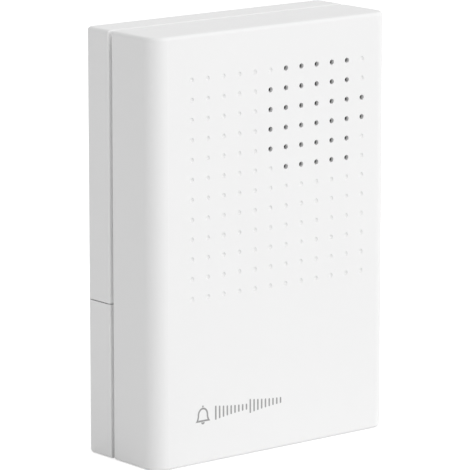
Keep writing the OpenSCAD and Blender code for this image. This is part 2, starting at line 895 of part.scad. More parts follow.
module terminal_screws() {
    top = -block_h + way_screw_drop;
    past = way_screw_r + over;
    color(steel) at_ways() difference() {
        rod(way_screw_r, top, -block_h + way_well - way_gap);
        span([-past, top - over, -way_slot_w / 2], [past, top + way_slot_h, way_slot_w / 2]);
    }
}

module terminal_clamps() {
    well = -block_h + way_well;
    front = cage_l - cage_back;
    color(brass) at_ways() difference() {
        span([-cage_back, well, -cage_w / 2], [front, well + cage_h, cage_w / 2]);
        span([-cage_back - over, well + cage_t, -cage_w / 2 + cage_t],
            [front + over, well + cage_h - cage_t, cage_w / 2 - cage_t]);
    }
}

// A cell along X with its button towards -X, its button's face at x = 0
module cell(c) {
    color(c) rotate([0, 90, 0]) {
        cylinder(r = button_r, h = button_l + over);
        translate([0, 0, button_l]) cylinder(r = cell_d / 2, h = cell_l - button_l);
    }
}

module upper_cell() {
    translate([-button_x, cell_y, upper_z]) cell("#8d9096");
}

module lower_cell() {
    translate([button_x, cell_y, lower_z]) mirror([1, 0, 0]) cell("#8d9096");
}

// A contact plate on the bay's left end; the right one is its mirror image
module contact_plate(z0, z1) {
    span([-bay_l / 2, bay_floor + cell_gap / 2, z0],
        [-bay_l / 2 + contact_t, y_deck + bay_rise - contact_drop, z1]);
}

module contact_dimple(z) {
    translate([-bay_l / 2, cell_y, z]) rotate([0, 90, 0])
        cylinder(r = contact_pip_r, h = contact_t + contact_pip);
}

module solder_tab(z) {
    span([-bay_l / 2 - tab_l, tab_y - contact_t / 2, z - tab_w / 2],
        [-bay_l / 2 + contact_t / 2, tab_y + contact_t / 2, z + tab_w / 2]);
}

module positive_contact() {
    color(steel) {
        contact_plate(upper_z - contact_w / 2, upper_z + contact_w / 2);
        contact_dimple(upper_z);
        solder_tab(upper_z);
    }
}

module negative_contact() {
    color(steel) {
        contact_plate(lower_z - contact_w / 2, lower_z + contact_w / 2);
        solder_tab(lower_z);
    }
}

module bridge_contact() {
    color(steel) mirror([1, 0, 0]) {
        contact_plate(lower_z - contact_w / 2, upper_z + contact_w / 2);
        contact_dimple(lower_z);
    }
}

// A tube swept along points, with its section turned about a fixed direction
function unit(v) = v / norm(v);
function heading(p, i) = unit(p[min(i + 1, len(p) - 1)] - p[max(i - 1, 0)]);
function ring(p, i, r, sides, side_dir) = let (t = heading(p, i), u = unit(cross(t, side_dir)), v = cross(t, u))
    [for (k = [0 : sides - 1]) p[i] + r * (cos(360 * k / sides) * u + sin(360 * k / sides) * v)];

module tube(p, r, sides, side_dir) {
    n = len(p);
    points = [for (i = [0 : n - 1]) each ring(p, i, r, sides, side_dir)];
    walls = [for (i = [0 : n - 2], k = [0 : sides - 1]) let (a = i * sides, k2 = (k + 1) % sides)
        each [[a + k, a + k2, a + sides + k2], [a + k, a + sides + k2, a + sides + k]]];
    first = [for (k = [1 : sides - 2]) [0, k + 1, k]];
    last = [for (k = [1 : sides - 2]) [(n - 1) * sides, (n - 1) * sides + k, (n - 1) * sides + k + 1]];
    polyhedron(points, concat(walls, first, last));
}

// A smooth curve through hand-chosen points
function spline_at(a, b, c, d, t) =
    0.5 * (2 * b + (c - a) * t + (2 * a - 5 * b + 4 * c - d) * t * t + (3 * b - a - 3 * c + d) * t * t * t);
function smooth(p, steps) = let (n = len(p)) [for (i = [0 : n - 2], s = [0 : steps - 1])
    spline_at(p[max(i - 1, 0)], p[i], p[i + 1], p[min(i + 2, n - 1)], s / steps), p[n - 1]];

module lead(route, side_dir) {
    tube(smooth(route, 3), lead_d / 2, 8, side_dir);
}

// A cone-shaped contact spring along X, its wide end at x = 0
spring_steps = spring_turns * spring_rings;
function spring_point(i) = let (f = i / spring_steps, a = 360 * i / spring_rings,
    r = spring_base_r + (spring_tip_r - spring_base_r) * f, room = spring_l - 2 * (spring_wire_r + spring_gap))
    [spring_wire_r + spring_gap + room * f, r * cos(a), r * sin(a)];
spring_path = [for (i = [0 : spring_steps]) spring_point(i)];
spring_clear = min([for (i = [0 : spring_steps - spring_rings + 1], j = [i + spring_rings - 1 : spring_steps])
    norm(spring_path[i] - spring_path[j])]) - 2 * spring_wire_r;
echo(spring_clear = spring_clear);

module contact_spring() {
    tube(spring_path, spring_wire_r, spring_sides, [1, 0, 0]);
}

module contact_springs() {
    end_x = bay_l / 2 - contact_t;
    color(steel) {
        translate([-end_x, cell_y, lower_z]) contact_spring();
        translate([end_x, cell_y, upper_z]) mirror([1, 0, 0]) contact_spring();
    }
}

module battery_wire_red() {
    color("#b3262b") lead(battery_red_route, [1, 0.3, 0.1]);
}

module battery_wire_black() {
    color(black) lead(battery_black_route, [1, 0.3, 0.1]);
}

module speaker_wire_red() {
    color("#b3262b") lead(speaker_red_route, [0, 0.2, 1]);
}

module speaker_wire_black() {
    color(black) lead(speaker_black_route, [0, 0.2, 1]);
}

front_cover();
rear_case();
battery_door();
case_screws();
speaker_gasket();
speaker_basket();
speaker_surround();
speaker_cone();
dust_cap();
voice_coil();
speaker_top_plate();
speaker_magnet();
speaker_yoke();
speaker_tag_board();
speaker_lugs();
speaker_washers();
speaker_screws();
circuit_board();
board_screws();
melody_chip();
chip_legs();
electrolytic_capacitors();
ceramic_capacitors();
resistors();
diode();
voltage_regulator();
driver_transistor();
terminal_block();
terminal_screws();
terminal_clamps();
upper_cell();
lower_cell();
positive_contact();
negative_contact();
bridge_contact();
contact_springs();
battery_wire_red();
battery_wire_black();
speaker_wire_red();
speaker_wire_black();
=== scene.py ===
import math

import bmesh
import bpy
from mathutils import Matrix, Vector


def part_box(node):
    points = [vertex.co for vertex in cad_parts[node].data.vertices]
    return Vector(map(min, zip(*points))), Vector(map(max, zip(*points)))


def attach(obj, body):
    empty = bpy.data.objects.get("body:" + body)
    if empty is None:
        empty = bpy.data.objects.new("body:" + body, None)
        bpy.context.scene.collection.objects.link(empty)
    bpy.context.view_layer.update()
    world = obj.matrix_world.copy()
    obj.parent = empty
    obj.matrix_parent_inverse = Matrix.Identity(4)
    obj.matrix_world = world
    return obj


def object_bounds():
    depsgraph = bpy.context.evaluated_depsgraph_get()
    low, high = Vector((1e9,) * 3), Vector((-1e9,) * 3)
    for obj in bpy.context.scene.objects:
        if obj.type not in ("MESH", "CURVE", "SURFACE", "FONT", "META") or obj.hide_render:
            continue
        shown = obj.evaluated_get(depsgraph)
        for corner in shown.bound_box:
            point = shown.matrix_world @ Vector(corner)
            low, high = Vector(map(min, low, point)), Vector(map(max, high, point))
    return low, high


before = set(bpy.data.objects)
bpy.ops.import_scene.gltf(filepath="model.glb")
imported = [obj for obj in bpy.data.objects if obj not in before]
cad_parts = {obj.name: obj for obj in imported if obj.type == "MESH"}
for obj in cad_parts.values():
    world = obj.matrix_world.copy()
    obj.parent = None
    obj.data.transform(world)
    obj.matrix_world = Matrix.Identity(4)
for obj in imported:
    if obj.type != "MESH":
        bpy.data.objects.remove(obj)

bl_info = {
    "name": "Doorbell Chime Box",
    "version": (1, 0, 0),
    "blender": (4, 5, 0),
    "location": "View3D > Sidebar > Chime Box",
    "description": "Finishes, prints and stages a moulded doorbell chime box",
    "category": "Object",
}

MM = 0.001
CAD_LOW, CAD_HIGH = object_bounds()
FRONT_LOW, FRONT_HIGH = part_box("front_cover")
FRONT_Y = FRONT_LOW.y
BASE_Z = CAD_LOW.z


# Colours, sizes and the stage's settings

WHITE = (1.0, 1.0, 1.0, 1.0)


def linear(hex_colour):
    """An sRGB hex value such as #f2f2f0 as linear red, green, blue and alpha."""
    raw = [int(hex_colour[i:i + 2], 16) / 255 for i in (1, 3, 5)]
    return tuple(c / 12.92 if c <= 0.04045 else ((c + 0.055) / 1.055) ** 2.4 for c in raw) + (1.0,)


def colour_prop(name, description, hex_colour):
    """A colour that a user may change, shown as a swatch."""
    return bpy.props.FloatVectorProperty(
        name=name, description=description, subtype="COLOR", size=4,
        min=0.0, max=1.0, default=linear(hex_colour))


def length_prop(name, description, millimetres):
    """A length that a user may change, kept in metres."""
    return bpy.props.FloatProperty(
        name=name, description=description, subtype="DISTANCE", unit="LENGTH",
        min=0.0, precision=5, default=millimetres * MM)


def angle_prop(name, description, degrees):
    """An angle that a user may change, kept in radians."""
    return bpy.props.FloatProperty(
        name=name, description=description, subtype="ANGLE", unit="ROTATION",
        default=math.radians(degrees))


class ChimeColours(bpy.types.PropertyGroup):
    """Colours of the chime box's finishes."""
    case: colour_prop("Case", "White of the moulded case", "#efefef")
    ink: colour_prop("Ink", "Grey of the printed mark", "#9b9b9b")
    board: colour_prop("Board", "Green of the solder mask", "#1f6b3b")
    jacket: colour_prop("Cell jacket", "Main colour of the cells' jackets", "#2f5f9a")
    jacket_band: colour_prop("Cell band", "Band at the cells' button end", "#d7d9dc")


class ChimeSizes(bpy.types.PropertyGroup):
    """Sizes of the printed mark and of small added trim."""
    print_left: length_prop("Print left", "From the case's left side to the printed mark", 14.1)
    print_up: length_prop("Print height", "From the case's lower end to the mark's foot", 12.0)
    print_high: length_prop("Mark height", "Height of the bars of the printed mark", 4.1)
    print_long: length_prop("Mark length", "Length of the whole printed mark", 31.2)
    print_line: length_prop("Line width", "Width of the printed lines", 0.5)
    ink_thick: length_prop("Ink thickness", "Thickness of the printed ink", 0.03)
    mark_rise: length_prop("Polarity mark", "Height of the raised plus and minus marks", 0.3)


class ChimeStage(bpy.types.PropertyGroup):
    """Camera and light."""
    azimuth: angle_prop("Azimuth", "Camera angle round the box", -38.90)
    elevation: angle_prop("Elevation", "Camera angle above the horizon", 11.52)
    distance: length_prop("Distance", "From the camera to its target", 1097.2)
    lens: bpy.props.FloatProperty(
        name="Lens", description="Focal length in millimetres", unit="CAMERA", default=295.5)
    key_power: bpy.props.FloatProperty(
        name="Key", description="Power of the high soft light on the right", unit="POWER", default=2.3)
    fill: bpy.props.FloatProperty(
        name="Fill", description="Mean strength of the light all round", default=0.793)
    lean: bpy.props.FloatVectorProperty(
        name="Lean", description="How much more of the light all round comes from X, Y and Z",
        subtype="XYZ", size=3, default=(0.35, -0.425, 0.005))


def colours():
    return bpy.context.scene.chime_colours


def sizes():
    return bpy.context.scene.chime_sizes


# Materials

def feed(tree, node, inputs):
    """Gives a node's inputs what they take: a plain value or another node's output."""
    for name, value in inputs.items():
        if isinstance(value, bpy.types.NodeSocket):
            tree.links.new(value, node.inputs[name])
        else:
            node.inputs[name].default_value = value


def add(tree, kind, inputs=None, **settings):
    """Adds a node with its settings and links."""
    made = tree.nodes.new(kind)
    for name, value in settings.items():
        setattr(made, name, value)
    feed(tree, made, inputs or {})
    return made


def new_material(name):
    """An empty material, its node tree, its shader and the object's own coordinates."""
    material = bpy.data.materials.new(name)
    material.use_nodes = True
    tree = material.node_tree
    shader = tree.nodes["Principled BSDF"]
    place = add(tree, "ShaderNodeTexCoord").outputs["Object"]
    return material, tree, shader, place


def per_metre(millimetres):
    """Texture scale for a pattern whose parts are this many millimetres across."""
    return 1.0 / (millimetres * MM)


def shade(colour, factor):
    """A colour made lighter or darker."""
    return tuple(min(1.0, c * factor) for c in colour[:3]) + (1.0,)


def mottle(tree, place, grain_mm, dark, light):
    """Clouds of the given grain, and the colour that they give between a dark and a light one."""
    clouds = add(tree, "ShaderNodeTexNoise",
                 {"Vector": place, "Scale": per_metre(grain_mm), "Detail": 3.0})
    mixed = add(tree, "ShaderNodeMix", {"Factor": clouds.outputs["Fac"], "A": dark, "B": light},
                data_type="RGBA")
    return clouds.outputs["Fac"], mixed.outputs["Result"]


def moulded_abs(name, colour):
    """Injection-moulded ABS from a spark-eroded tool: a soft satin white with a fine, even grain."""
    material, tree, shader, place = new_material(name)
    flow, tone = mottle(tree, place, 28.0, shade(colour, 0.985), shade(colour, 1.01))
    gloss = add(tree, "ShaderNodeMapRange", {"Value": flow, "To Min": 0.46, "To Max": 0.54})
    # The tool's grain is about 0.1 mm; it is drawn at 0.45 mm so that it shows.
    grain = add(tree, "ShaderNodeTexNoise",
                {"Vector": place, "Scale": per_metre(0.45), "Detail": 2.0})
    relief = add(tree, "ShaderNodeBump",
                 {"Height": grain.outputs["Fac"], "Distance": 0.02 * MM, "Strength": 0.25})
    feed(tree, shader, {"IOR": 1.53, "Base Color": tone, "Roughness": gloss.outputs["Result"],
                        "Normal": relief.outputs["Normal"]})
    return material


def pad_print_ink(name, colour):
    """Pad-printed ink: a flat matt grey film, a little uneven where the pad pressed it."""
    material, tree, shader, place = new_material(name)
    press, tone = mottle(tree, place, 1.2, shade(colour, 0.94), shade(colour, 1.06))
    gloss = add(tree, "ShaderNodeMapRange", {"Value": press, "To Min": 0.55, "To Max": 0.68})
    feed(tree, shader, {"IOR": 1.48, "Base Color": tone, "Roughness": gloss.outputs["Result"]})
    return material


def plated_metal(name, hex_colour, grain_mm, rough):
    """Plated or pressed metal: bright, with a faint cloudy grain left by the bath or the press."""
    material, tree, shader, place = new_material(name)
    colour = linear(hex_colour)
    cloud, tone = mottle(tree, place, grain_mm, shade(colour, 0.9), shade(colour, 1.06))
    gloss = add(tree, "ShaderNodeMapRange", {"Value": cloud, "To Min": rough[0], "To Max": rough[1]})
    feed(tree, shader, {"Metallic": 1.0, "Base Color": tone, "Roughness": gloss.outputs["Result"]})
    return material


def speckled_solid(name, hex_colour, grain_mm, rough, depth_mm, spread=0.12):
    """A dull solid such as epoxy, ferrite or lacquer: one colour with fine specks and a low relief."""
    material, tree, shader, place = new_material(name)
    colour = linear(hex_colour)
    specks, tone = mottle(tree, place, grain_mm, shade(colour, 1 - spread), shade(colour, 1 + spread))
    gloss = add(tree, "ShaderNodeMapRange",
                {"Value": specks, "To Min": rough - 0.06, "To Max": rough + 0.06})
    relief = add(tree, "ShaderNodeBump",
                 {"Height": specks, "Distance": depth_mm * MM, "Strength": 0.4})
    feed(tree, shader, {"IOR": 1.5, "Base Color": tone, "Roughness": gloss.outputs["Result"],
                        "Normal": relief.outputs["Normal"]})
    return material


def closed_cell_foam(name, hex_colour):
    """Cut closed-cell foam: matt black with the small hollows of opened cells, about 0.4 mm across, darkened
    towards their middles with painted shade.
    """
    material, tree, shader, place = new_material(name)
    colour = linear(hex_colour)
    cells = add(tree, "ShaderNodeTexVoronoi", {"Vector": place, "Scale": per_metre(0.4)})
    pit_depth_and_shade = cells.outputs["Distance"]
    # Painted shade: the colour darkens towards the middle of each hollow, where the relief is deepest.
    tone = add(tree, "ShaderNodeMix",
               {"Factor": pit_depth_and_shade, "A": shade(colour, 0.6), "B": shade(colour, 1.3)}, data_type="RGBA")
    relief = add(tree, "ShaderNodeBump", {"Height": pit_depth_and_shade, "Distance": 0.1 * MM, "Strength": 0.6})
    feed(tree, shader, {"Base Color": tone.outputs["Result"], "Roughness": 0.9,
                        "Normal": relief.outputs["Normal"]})
    return material


def pressed_pulp(name, hex_colour):
    """Pressed paper pulp: short tangled fibres, a dark brown-grey with a dry surface."""
    material, tree, shader, place = new_material(name)
    colour = linear(hex_colour)
    tangle = add(tree, "ShaderNodeTexNoise",
                 {"Vector": place, "Scale": per_metre(0.5), "Detail": 6.0, "Distortion": 2.5})
    fibres = tangle.outputs["Fac"]
    tone = add(tree, "ShaderNodeMix",
               {"Factor": fibres, "A": shade(colour, 0.7), "B": shade(colour, 1.4)}, data_type="RGBA")
    relief = add(tree, "ShaderNodeBump", {"Height": fibres, "Distance": 0.06 * MM, "Strength": 0.5})
    feed(tree, shader, {"Base Color": tone.outputs["Result"], "Roughness": 0.88,
                        "Normal": relief.outputs["Normal"]})
    return material


# A wave texture at a scale of 1 repeats after this length.
WAVE_LENGTH = 2 * math.pi / 20


def woven_cloth(name, hex_colour, thread_mm):
    """Coated cloth: crossing threads under a thin dull coat, darker between the threads with painted shade
    and lighter on their crowns with painted light.
    """
    material, tree, shader, place = new_material(name)
    colour = linear(hex_colour)
    threads = [add(tree, "ShaderNodeTexWave",
                   {"Vector": place, "Scale": per_metre(thread_mm) * WAVE_LENGTH},
                   bands_direction=axis).outputs["Fac"] for axis in ("X", "Z")]
    crossed = add(tree, "ShaderNodeMath", {0: threads[0], 1: threads[1]}, operation="MULTIPLY")
    weave_height_and_shade = crossed.outputs[0]
    # Painted shade and light: the colour is dark where the crossed threads sit low and light where they
    # stand high.
    tone = add(tree, "ShaderNodeMix",
               {"Factor": weave_height_and_shade, "A": shade(colour, 0.6), "B": shade(colour, 1.5)}, data_type="RGBA")
    relief = add(tree, "ShaderNodeBump", {"Height": weave_height_and_shade, "Distance": 0.05 * MM, "Strength": 0.5})
    feed(tree, shader, {"Base Color": tone.outputs["Result"], "Roughness": 0.7,
                        "Normal": relief.outputs["Normal"]})
    return material


def wound_copper(name, hex_colour, wire_mm):
    """Enamelled copper wound on a former: close rings of wire with a warm, lacquered shine, and painted
    shade in the grooves between the turns.
    """
    material, tree, shader, place = new_material(name)
    colour = linear(hex_colour)
    turns = add(tree, "ShaderNodeTexWave",
                {"Vector": place, "Scale": per_metre(wire_mm) * WAVE_LENGTH}, bands_direction="Y")
    rings = turns.outputs["Fac"]
    # Painted shade: the colour darkens in the grooves between the turns of wire, following the same bands
    # that give the relief.
    tone = add(tree, "ShaderNodeMix",
               {"Factor": rings, "A": shade(colour, 0.6), "B": shade(colour, 1.1)}, data_type="RGBA")
    relief = add(tree, "ShaderNodeBump", {"Height": rings, "Distance": 0.08 * MM, "Strength": 0.6})
    feed(tree, shader, {"Metallic": 1.0, "Base Color": tone.outputs["Result"], "Roughness": 0.3,
                        "Normal": relief.outputs["Normal"]})
    return material


def solder_mask(name, colour):
    """Solder mask on a glass board: glossy green, a little cloudy from the glass cloth under it."""
    material, tree, shader, place = new_material(name)
    cloth, tone = mottle(tree, place, 0.8, shade(colour, 0.92), shade(colour, 1.06))
    gloss = add(tree, "ShaderNodeMapRange", {"Value": cloth, "To Min": 0.22, "To Max": 0.34})
    feed(tree, shader, {"Base Color": tone, "Roughness": gloss.outputs["Result"]})
    return material


def painted_steps(tree, along, stops):
    """Colours with hard edges: pairs of a place from 0 to 1 and the colour from there on."""
    ramp = add(tree, "ShaderNodeValToRGB", {"Fac": along})
    ramp.color_ramp.interpolation = "CONSTANT"
    elements = ramp.color_ramp.elements
    elements[0].color = stops[0][1]
    for at, colour in stops[1:]:
        elements.new(at).color = colour
    elements.remove(elements[-1])
    return ramp.outputs["Color"]


NOT_METAL, BARE_METAL = (0.0, 0.0, 0.0, 1.0), (1.0, 1.0, 1.0, 1.0)


def banded_part(name, hex_colour, node_name, body_mm, bands):
    """A small lacquered part on tinned legs: painted bands round its body, bare metal beyond it."""
    material, tree, shader, place = new_material(name)
    low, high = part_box(node_name)
    up = add(tree, "ShaderNodeSeparateXYZ", {"Vector": place}).outputs["Z"]
    reach = add(tree, "ShaderNodeMapRange", {"Value": up, "From Min": low.z, "From Max": high.z})
    along = reach.outputs["Result"]
    length_mm = (high.z - low.z) / MM
    foot_mm = (length_mm - body_mm) / 2
    body_at, body_end = foot_mm / length_mm, 1 - foot_mm / length_mm
    tin, body = linear("#c3c5c7"), linear(hex_colour)
    stops = [(0.0, tin), (body_at, body)]
    for start_mm, wide_mm, band_colour in bands:
        stops.append(((foot_mm + start_mm) / length_mm, linear(band_colour)))
        stops.append(((foot_mm + start_mm + wide_mm) / length_mm, body))
    stops.append((body_end, tin))
    bare = [(0.0, BARE_METAL), (body_at, NOT_METAL), (body_end, BARE_METAL)]
    lacquer = add(tree, "ShaderNodeTexNoise",
                  {"Vector": place, "Scale": per_metre(0.5), "Detail": 3.0})
    gloss = add(tree, "ShaderNodeMapRange",
                {"Value": lacquer.outputs["Fac"], "To Min": 0.3, "To Max": 0.42})
    feed(tree, shader, {"Base Color": painted_steps(tree, along, stops),
                        "Metallic": painted_steps(tree, along, bare),
                        "Roughness": gloss.outputs["Result"]})
    return material


def can_sleeve(name, hex_colour):
    """Shrink sleeve on an aluminium can: glossy navy, a pale stripe down one side, bare metal on top."""
    material, tree, shader, place = new_material(name)
    facing = add(tree, "ShaderNodeTexCoord").outputs["Normal"]
    ways = add(tree, "ShaderNodeSeparateXYZ", {"Vector": facing}).outputs
    top = add(tree, "ShaderNodeMath", {0: ways["Y"], 1: -0.9}, operation="LESS_THAN").outputs[0]
    stripe = add(tree, "ShaderNodeMath", {0: ways["X"], 1: -0.92}, operation="LESS_THAN").outputs[0]
    sleeve = add(tree, "ShaderNodeMix",
                 {"Factor": stripe, "A": linear(hex_colour), "B": linear("#aeb4c0")}, data_type="RGBA")
    tone = add(tree, "ShaderNodeMix",
               {"Factor": top, "A": sleeve.outputs["Result"], "B": linear("#b9bbbd")}, data_type="RGBA")
    film = add(tree, "ShaderNodeTexNoise",
               {"Vector": place, "Scale": per_metre(1.0), "Detail": 3.0})
    gloss = add(tree, "ShaderNodeMapRange",
                {"Value": film.outputs["Fac"], "To Min": 0.26, "To Max": 0.38})
    feed(tree, shader, {"Base Color": tone.outputs["Result"], "Metallic": top,
                        "Roughness": gloss.outputs["Result"]})
    return material


def cell_jacket(name, button_x, foot_x, main, band):
    """A printed film jacket shrunk on a steel can: a coloured body, a pale band and bare metal ends."""
    material, tree, shader, place = new_material(name)
    across = add(tree, "ShaderNodeSeparateXYZ", {"Vector": place}).outputs["X"]
    reach = add(tree, "ShaderNodeMapRange",
                {"Value": across, "From Min": button_x, "From Max": foot_x})
    along = reach.outputs["Result"]
    # Where the band, the body and the bare foot start, from the button's face, 0, to the other end, 1.
    band_at, body_at, foot_at = 0.034, 0.205, 0.99
    steel = linear("#c4c6c8")
    stops = [(0.0, steel), (band_at, band), (body_at, main), (foot_at, steel)]
    bare = [(0.0, BARE_METAL), (band_at, NOT_METAL), (foot_at, BARE_METAL)]
    film = add(tree, "ShaderNodeTexNoise",
               {"Vector": place, "Scale": per_metre(6.0), "Detail": 3.0})
    gloss = add(tree, "ShaderNodeMapRange",
                {"Value": film.outputs["Fac"], "To Min": 0.24, "To Max": 0.34})
    feed(tree, shader, {"Base Color": painted_steps(tree, along, stops),
                        "Metallic": painted_steps(tree, along, bare),
                        "Roughness": gloss.outputs["Result"]})
    return material


# Pieces

def dress(node_names, material):
    """Gives CAD pieces their finish."""
    for name in node_names:
        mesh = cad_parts[name].data
        mesh.materials.clear()
        mesh.materials.append(material)


def piece(name, mesh, material):
    """A new piece of the box, riding on its case."""
    obj = bpy.data.objects.new(name, mesh)
    bpy.context.scene.collection.objects.link(obj)
    mesh.materials.append(material)
    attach(obj, "case")


def flat_shapes(name, outlines, y_back, thick, rings=()):
    """One mesh of flat shapes drawn in X and Z, raised from y_back towards the front.

    A ring is a pair of outlines, the outer and the inner, with the same number of points.
    """
    bm = bmesh.new()
    for pair in rings:
        (outer, outer_front), (inner, inner_front) = [
            [[bm.verts.new((x, y, z)) for x, z in line] for y in (y_back, y_back - thick)]
            for line in pair]
        for i in range(len(outer)):
            j = (i + 1) % len(outer)
            for a, b in ((outer, inner), (inner, inner_front),
                         (inner_front, outer_front), (outer_front, outer)):
                bm.faces.new((a[i], a[j], b[j], b[i]))
    for outline in outlines:
        back, front = [[bm.verts.new((x, y, z)) for x, z in outline] for y in (y_back, y_back - thick)]
        bm.faces.new(back)
        bm.faces.new(front[::-1])
        for i in range(len(outline)):
            j = (i + 1) % len(outline)
            bm.faces.new((back[j], back[i], front[i], front[j]))
    bmesh.ops.recalc_face_normals(bm, faces=bm.faces)
    mesh = bpy.data.meshes.new(name)
    bm.to_mesh(mesh)
    bm.free()
    return mesh


def feet_on(node_name, y):
    """A CAD piece's points that lie on the plane at y."""
    points = [v.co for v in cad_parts[node_name].data.vertices]
    return [p for p in points if abs(p.y - y) < 0.02 * MM]


def middles_of_feet(points, reach):
    """Middles in X and Z of groups of points, each within reach of another point of its group."""
    groups = []
    for point in points:
        flat = Vector((point.x, point.z))
        near = [group for group in groups if any((flat - other).length < reach for other in group)]
        groups = [group for group in groups if all(group is not other for other in near)]
        groups.append([flat] + [other for group in near for other in group])
    middles = []
    for group in groups:
        xs, zs = [q.x for q in group], [q.y for q in group]
        middles.append(((min(xs) + max(xs)) / 2, (min(zs) + max(zs)) / 2))
    return middles


def short_links(spots, least, most):
    """Pairs of spots joined by the shortest tree, but for pairs nearer or farther than the limits."""
    joined, links = [0], []
    while len(joined) < len(spots):
        left = [j for j in range(len(spots)) if j not in joined]
        gap, a, b = min((math.dist(spots[i], spots[j]), i, j) for i in joined for j in left)
        joined.append(b)
        if least < gap < most:
            links.append((spots[a], spots[b]))
    return links


def bent_track(start, end, wide):
    """Outline of a track that leaves its start at 45 degrees and then runs straight to its end."""
    start, end = Vector(start), Vector(end)
    way = end - start
    slant = min(abs(way.x), abs(way.y))
    bend = start + Vector((math.copysign(slant, way.x), math.copysign(slant, way.y)))
    points = [start, bend, end]
    if min((bend - start).length, (bend - end).length) <= wide / 4:
        points.remove(bend)
    steps = [(q - p).normalized() for p, q in zip(points, points[1:])]
    across = []
    for before, after in zip([steps[0]] + steps, steps + [steps[-1]]):
        middle = (before + after).normalized()
        across.append(Vector((-middle.y, middle.x)) * (wide / 2 / middle.dot(after)))
    left = [tuple(p + o) for p, o in zip(points, across)]
    right = [tuple(p - o) for p, o in zip(points, across)]
    return left + right[::-1]


def solder_domes(name, spots, y_foot, profile_mm):
    """One mesh of round forms that stand on y_foot and point to the rear, one at each X and Z."""
    bm = bmesh.new()
    sides = 12
    turns = [2 * math.pi * i / sides for i in range(sides)]
    for x, z in spots:
        rings = []
        for r, h in profile_mm[:-1]:
            ring = [(x + r * MM * math.cos(t), y_foot + h * MM, z + r * MM * math.sin(t)) for t in turns]
            rings.append([bm.verts.new(point) for point in ring])
        tip = bm.verts.new((x, y_foot + profile_mm[-1][1] * MM, z))
        for lower, upper in zip(rings, rings[1:]):
            for i in range(sides):
                j = (i + 1) % sides
                bm.faces.new((lower[i], lower[j], upper[j], upper[i]))
        for i in range(sides):
            bm.faces.new((rings[-1][i], rings[-1][(i + 1) % sides], tip))
        bm.faces.new(rings[0])
    bmesh.ops.recalc_face_normals(bm, faces=bm.faces)
    for face in bm.faces:
        face.smooth = True
    mesh = bpy.data.meshes.new(name)
    bm.to_mesh(mesh)
    bm.free()
    return mesh


def arc(cx, cz, radius, start, end, steps, stretch=1.0):
    """Points of an arc, angles in degrees; a stretch makes it an oval one, that much higher than wide."""
    turns = [math.radians(start + (end - start) * i / steps) for i in range(steps + 1)]
    return [(cx + radius * math.cos(t), cz + stretch * radius * math.sin(t)) for t in turns]


def pill(cx, low, high, half):
    """A bar with round ends."""
    return arc(cx, low + half, half, 180, 360, 8) + arc(cx, high - half, half, 0, 180, 8)


def bell_outline(cx, foot, high, inside=0.0):
    """A plain bell's flared body and round top, or the line that runs inside it at a distance."""
    waist, waist_up = 0.335 * high - inside, foot + 0.52 * high
    dome_high, lip_drop = 0.37 * high - inside, 0.36 * high - inside
    # The flare is part of an oval that stands beside the bell.
    flare_wide, flare_high = 0.34 * high + inside, 0.45 * high + inside
    flare_x, flare_stretch = waist + flare_wide, flare_high / flare_wide
    sweep = math.degrees(math.asin(lip_drop / flare_high))
    right = arc(cx + flare_x, waist_up, flare_wide, 180 + sweep, 180, 8, flare_stretch)
    dome = arc(cx, waist_up, waist, 0, 180, 20, dome_high / waist)
    left = arc(cx - flare_x, waist_up, flare_wide, 0, -sweep, 8, flare_stretch)
    return right + dome[1:-1] + left


